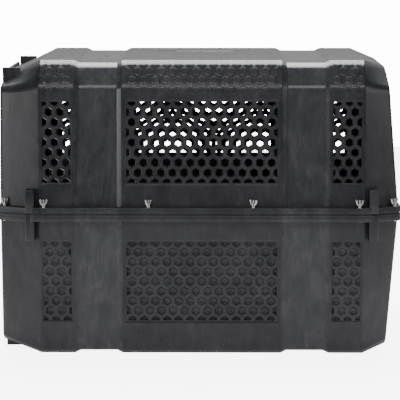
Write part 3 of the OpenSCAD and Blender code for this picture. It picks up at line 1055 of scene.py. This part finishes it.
def shell_plastic(name, shade, specular):
    """Moulded polypropylene: charcoal, marbled by flow streaks, with a fine grain and smoother channels
    whose colour is lifted as painted highlight; shade scales the whole colour.
    """
    material, tree, shader, place = node_material(name)
    flow = stretched(tree, place, (5.0, 5.0, 3.2))
    clouds = noise(tree, flow, 2.2, 6.0, 0.62, 1.4)
    streaks = noise(tree, stretched(tree, place, (26.0, 26.0, 6.0)), 1.6, 5.0, 0.6, 2.2)
    tone = blend(tree, clouds, streaks, 0.38)
    colour = colour_ramp(tree, tone, [
        (0.36, (0.013, 0.0135, 0.016)), (0.50, (0.022, 0.0225, 0.025)), (0.66, (0.038, 0.0385, 0.042))])
    shader.inputs["Specular IOR Level"].default_value = specular
    channel_mid = (CENTRE_BAY + END_BAY_INNER) / 2
    channel_half = (END_BAY_INNER - CENTRE_BAY) / 2
    off = distance(tree, distance(tree, part(tree, place, "X"), BAY_MID), channel_mid)
    # channels are smoother (real finish), and their colour is lifted as painted highlight
    polish_and_highlight = map_range(tree, off, 1.0, 0.0, channel_half - 0.012, channel_half + 0.002)
    shine = combine(tree, "MULTIPLY", polish_and_highlight, 0.07)
    rough = combine(tree, "SUBTRACT", map_range(tree, tone, 0.26, 0.36), shine)
    tree.links.new(rough, shader.inputs["Roughness"])
    # colour scale: painted highlight in the channels, and painted shade wherever shade is below 1
    painted_light_and_shade_scale = tree.nodes.new("ShaderNodeVectorMath")
    painted_light_and_shade_scale.operation = "SCALE"
    tree.links.new(colour, painted_light_and_shade_scale.inputs[0])
    tree.links.new(map_range(tree, polish_and_highlight, 0.85 * shade, 1.35 * shade, 0.0, 1.0), painted_light_and_shade_scale.inputs["Scale"])
    tree.links.new(painted_light_and_shade_scale.outputs["Vector"], shader.inputs["Base Color"])
    grain = noise(tree, place, 900.0, 3.0, 0.6)
    ripple = noise(tree, stretched(tree, place, (1.0, 1.0, 0.45)), 26.0, 3.0, 0.5, 0.6)
    normal = bump(tree, ripple, 0.0012, 0.35)
    tree.links.new(bump(tree, grain, 0.0002, 0.35, normal), shader.inputs["Normal"])
    return material


def latch_plastic():
    material, tree, shader, place = node_material("Latch_plastic")
    tone = noise(tree, place, 60.0, 5.0, 0.6, 0.5)
    colour = colour_ramp(tree, tone, [(0.3, (0.020, 0.020, 0.022)), (0.7, (0.042, 0.042, 0.046))])
    tree.links.new(colour, shader.inputs["Base Color"])
    tree.links.new(map_range(tree, tone, 0.42, 0.58), shader.inputs["Roughness"])
    grain = noise(tree, place, 1400.0, 2.0, 0.6)
    tree.links.new(bump(tree, grain, 0.0002, 0.5), shader.inputs["Normal"])
    return material


def plated_metal(name, bright, dull, rough_low, rough_high, along):
    """Plated steel: spangled tone, marks at the scales in along and a few dull patches."""
    material, tree, shader, place = node_material(name)
    shader.inputs["Metallic"].default_value = 1.0
    spangle = noise(tree, place, 240.0, 4.0, 0.6, 0.8)
    patches = noise(tree, place, 35.0, 4.0, 0.6, 0.4)
    tone = blend(tree, spangle, patches, 0.55)
    tree.links.new(colour_ramp(tree, tone, [(0.34, dull), (0.62, bright)]), shader.inputs["Base Color"])
    tree.links.new(map_range(tree, tone, rough_high, rough_low), shader.inputs["Roughness"])
    marks = noise(tree, stretched(tree, place, along), 1.0, 3.0, 0.5)
    tree.links.new(bump(tree, marks, 0.0001, 0.4), shader.inputs["Normal"])
    return material


SHELL_PLASTIC = shell_plastic("Shell_plastic", shade=1.0, specular=0.30)
# Darker, less shiny copy of the shell plastic for the dimple floors: painted shade in the recesses.
PAINTED_SHADE_PLASTIC = shell_plastic("Painted_shade_plastic", shade=0.30, specular=0.08)
LATCH_PLASTIC = latch_plastic()
ZINC = plated_metal(
    "Zinc_hardware", (0.46, 0.46, 0.46), (0.22, 0.22, 0.22), 0.10, 0.24, along=(300.0, 300.0, 900.0))
WIRE = plated_metal(
    "Zinc_wire", (0.74, 0.75, 0.77), (0.46, 0.46, 0.47), 0.24, 0.40, along=(900.0, 900.0, 60.0))
SPRING = plated_metal(
    "Spring_wire", (0.56, 0.56, 0.58), (0.34, 0.34, 0.35), 0.28, 0.44, along=(900.0, 900.0, 900.0))


def dress(obj, material):
    obj.data.materials.clear()
    obj.data.materials.append(material)


# ---------- assembly ----------

top_piece = top_shell()
bottom_piece = bottom_shell()
for piece, body, node in ((top_piece, "top", "top_shell"), (bottom_piece, "bottom", "bottom_shell")):
    dress(piece, SHELL_PLASTIC)
    # second slot: the darkened plastic, painted shade on the dimple floors
    piece.data.materials.append(PAINTED_SHADE_PLASTIC)
    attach(piece, body)
    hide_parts(node)

for number in range(len(NUT_TURNS)):
    node = f"wing_nut_{number + 1}"
    nut = wing_nut(number, node)
    dress(nut, ZINC)
    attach(nut, f"nut_{number + 1}")
    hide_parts(node)

KEPT = {
    ZINC: ("carriage_bolts", "flat_washers", "latch_screws"),
    WIRE: ("door_frame", "door_bars", "door_cross_wires", "hinge_rod", "rod_guides",
           "upper_latch_rod", "lower_latch_rod"),
    SPRING: ("upper_spring", "lower_spring"),
    LATCH_PLASTIC: ("latch_backplate", "latch_housing", "upper_grip", "lower_grip"),
}
for material, names in KEPT.items():
    for name in names:
        dress(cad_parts[name], material)


# ---------- stage: floor, lights, camera ----------

BACKDROP_WHITE = 14.0
FLOOR_GLOW = 0.75
FLOOR_WHITE = 6.0

CAMERA_PLACE = (0.0515, -5.811, 1.280)
CAMERA_DOWN = 8.437         # degrees
CAMERA_LEFT = 0.514
CAMERA_LENS = 164.3
SENSOR_WIDTH = 36.0

# Name, place, target, size and watts.
SOFTBOXES = (
    ("Overhead_softbox", (0, 1.15, 3.6), (0, -0.2, 0.88), (3.2, 2.2), 385),
    ("Strip_softbox", (-0.4, -3.2, 2.7), (0, -0.3, 0.8), (3.4, 0.6), 70),
    ("Steep_softbox", (0, -1.9, 3.8), (0, 0, 0.5), (2.6, 1.2), 7),
    ("Low_softbox", (0, -4.6, 1.3), (0, 0, 0.5), (2.6, 1.2), 8),
    ("Left_softbox", (-4.5, -3.6, 1.2), (0, 0, 0.5), (1.2, 1.6), 55),
    ("Right_softbox", (3.4, -2.0, 1.6), (0, 0, 0.5), (1.4, 1.6), 26),
)


def floor():
    """Pale floor with a lit table under the object; white where the camera sees it."""
    build = Builder()
    build.face([(-6, -7, 0), (6, -7, 0), (6, 5, 0), (-6, 5, 0)])
    obj = build.mesh_object("Floor")
    material, tree, shader, place = node_material("Pale_floor")
    shader.inputs["Base Color"].default_value = (0.86, 0.86, 0.86, 1.0)
    shader.inputs["Emission Color"].default_value = (1.0, 1.0, 1.0, 1.0)
    seen = tree.nodes.new("ShaderNodeLightPath").outputs["Is Camera Ray"]
    table = map_range(tree, part(tree, place, "Y"), 0.0, FLOOR_GLOW, -0.9, -0.7)
    glow = combine(tree, "MAXIMUM", combine(tree, "MULTIPLY", seen, FLOOR_WHITE), table)
    tree.links.new(glow, shader.inputs["Emission Strength"])
    tree.links.new(map_range(tree, noise(tree, place, 3.0), 0.55, 0.62), shader.inputs["Roughness"])
    dress(obj, material)


def softbox(name, position, target, size, watts):
    light = bpy.data.lights.new(name, "AREA")
    light.shape = "RECTANGLE"
    light.size, light.size_y = size
    light.energy = watts
    obj = bpy.data.objects.new(name, light)
    obj.location = position
    obj.rotation_euler = (Vector(target) - Vector(position)).to_track_quat("-Z", "Y").to_euler()
    bpy.context.scene.collection.objects.link(obj)


def studio_world():
    """White backdrop to the eye; a studio with a darker ceiling and camera side for light."""
    world = bpy.data.worlds.new("Studio")
    bpy.context.scene.world = world
    world.use_nodes = True
    tree = world.node_tree
    background = tree.nodes["Background"]
    place = tree.nodes.new("ShaderNodeTexCoord").outputs["Generated"]
    back = map_range(tree, part(tree, place, "Y"), 0.0, 0.50, 0.1, 0.5)
    ceiling = map_range(tree, part(tree, place, "Z"), 1.0, 0.25, 0.84, 0.96)
    studio = combine(tree, "MULTIPLY", back, ceiling)
    rays = tree.nodes.new("ShaderNodeLightPath")
    eye = combine(tree, "MULTIPLY", rays.outputs["Is Camera Ray"], BACKDROP_WHITE)
    seen = combine(tree, "MAXIMUM", studio, eye)
    tree.links.new(seen, background.inputs["Strength"])
    background.inputs["Color"].default_value = (1.0, 1.0, 1.0, 1.0)


def camera():
    data = bpy.data.cameras.new("Camera")
    data.sensor_width = SENSOR_WIDTH
    data.lens = CAMERA_LENS
    data.clip_end = 50.0
    obj = bpy.data.objects.new("Camera", data)
    obj.location = CAMERA_PLACE
    obj.rotation_euler = (math.radians(90 - CAMERA_DOWN), 0.0, math.radians(CAMERA_LEFT))
    bpy.context.scene.collection.objects.link(obj)
    bpy.context.scene.camera = obj


floor()
studio_world()
for values in SOFTBOXES:
    softbox(*values)
camera()

bpy.context.view_layer.update()
